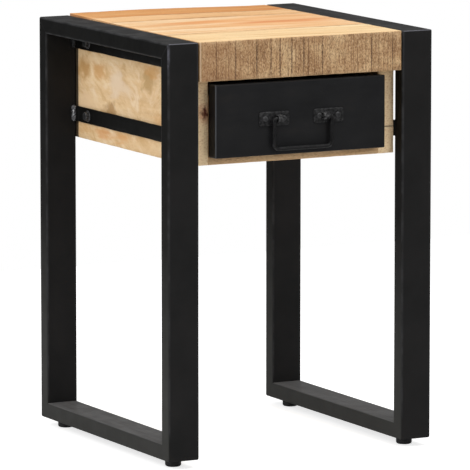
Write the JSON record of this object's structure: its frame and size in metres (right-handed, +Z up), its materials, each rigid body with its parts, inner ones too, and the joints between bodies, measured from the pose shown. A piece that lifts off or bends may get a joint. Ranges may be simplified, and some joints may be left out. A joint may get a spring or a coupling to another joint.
{
  "type": "side table with drawer",
  "caption": "Small side table with a thick plank top and a drawer case hung between rectangular steel tube side frames.",
  "frame": {"origin": "centre of the overall footprint, handle included, on the floor", "axes": "+X to the right seen from the front, +Z up, the drawer opens towards -Y"},
  "size_m": [0.35, 0.351, 0.502],
  "materials": {
    "frame_steel": "satin black powder coat",
    "weld_steel": "thinly coated weld seam",
    "bolt_steel": "black bolts",
    "foot_plastic": "black moulded glide",
    "plank_wood": "matt waxed planks",
    "case_wood": "rough-sawn boards, matt",
    "drawer_wood": "plain boards, matt",
    "handle_iron": "black forged iron"
  },
  "bodies": {
    "table": {"left_front_leg": "frame_steel", "left_rear_leg": "frame_steel", "left_top_rail": "frame_steel", "left_bottom_rail": "frame_steel", "left_upper_bar": "frame_steel", "left_lower_bar": "frame_steel", "left_welds": "weld_steel", "left_washers": "bolt_steel", "left_bolts": "bolt_steel", "right_front_leg": "frame_steel", "right_rear_leg": "frame_steel", "right_top_rail": "frame_steel", "right_bottom_rail": "frame_steel", "right_upper_bar": "frame_steel", "right_lower_bar": "frame_steel", "right_welds": "weld_steel", "right_washers": "bolt_steel", "right_bolts": "bolt_steel", "front_left_foot": "foot_plastic", "front_right_foot": "foot_plastic", "rear_left_foot": "foot_plastic", "rear_right_foot": "foot_plastic", "front_plank": "plank_wood", "front_middle_plank": "plank_wood", "rear_middle_plank": "plank_wood", "rear_plank": "plank_wood", "case_left_side": "case_wood", "case_right_side": "case_wood", "case_bottom": "case_wood", "case_back": "case_wood", "case_dowels": "case_wood", "drawer_stop": "case_wood"},
    "drawer": {"drawer_front_core": "drawer_wood", "drawer_front_facing": "frame_steel", "drawer_inner_front": "drawer_wood", "drawer_front_screws": "bolt_steel", "drawer_left_side": "drawer_wood", "drawer_right_side": "drawer_wood", "drawer_back": "drawer_wood", "drawer_bottom": "drawer_wood", "handle_left_clip": "handle_iron", "handle_right_clip": "handle_iron", "handle_screws": "handle_iron"},
    "handle": {"handle_bail": "handle_iron"}
  },
  "joints": [
    {"name": "drawer_slide", "type": "slide", "parent": "table", "child": "drawer", "axis": [0, -1, 0], "range_m": [0, 0.235]},
    {"name": "handle_pivot", "type": "hinge", "parent": "drawer", "child": "handle", "pos_m": [0, -0.171, 0.4055], "axis": [-1, 0, 0], "range_deg": [0, 180]}
  ]
}
